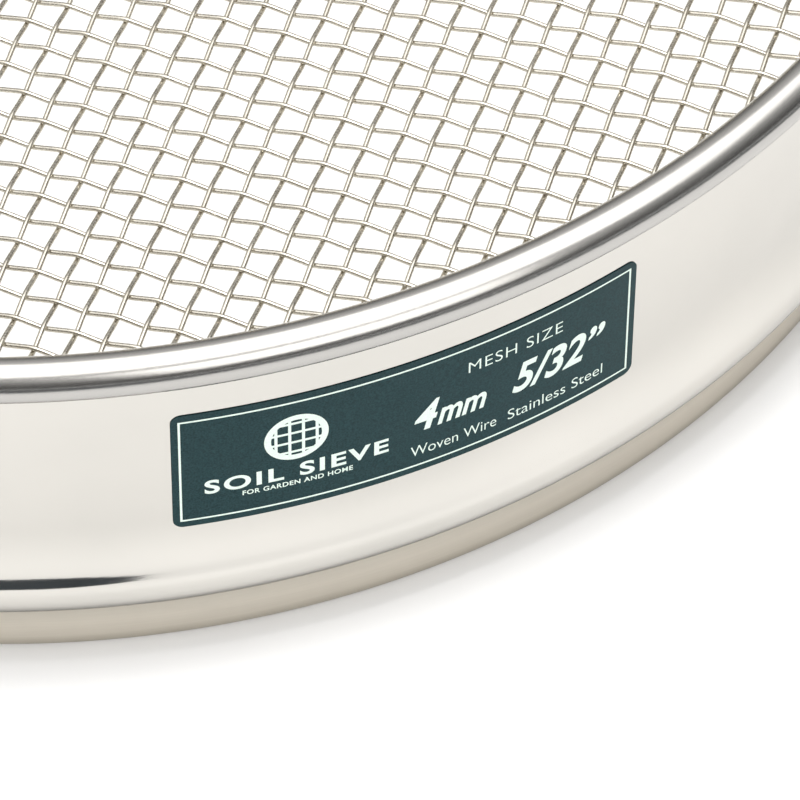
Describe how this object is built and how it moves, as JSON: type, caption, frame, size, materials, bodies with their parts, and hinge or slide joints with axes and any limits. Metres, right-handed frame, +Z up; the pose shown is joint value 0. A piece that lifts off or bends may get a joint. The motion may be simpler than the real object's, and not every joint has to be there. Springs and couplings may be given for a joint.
{
  "type": "soil sieve",
  "caption": "Round stainless soil sieve: polished hoop with rolled rim bead and flared stacking shoulder, woven wire mesh clamped by a retaining ring, nesting skirt and a side label",
  "frame": {"origin": "centre of the skirt's lower edge, on the surface that the sieve stands on", "axes": "+Z up through the open mouth along the sieve's axis, -Y towards the middle of the label"},
  "size_m": [0.2994, 0.2994, 0.0658],
  "materials": {
    "polished_steel": "mirror polished",
    "satin_steel": "satin",
    "mesh_wire": "bright drawn wire",
    "label_film": "printed vinyl"
  },
  "bodies": {
    "root": {"rim_hoop": "polished_steel", "nesting_skirt": "satin_steel", "retaining_ring": "satin_steel", "warp_wires": "mesh_wire", "weft_wires": "mesh_wire", "label": "label_film"}
  },
  "joints": []
}
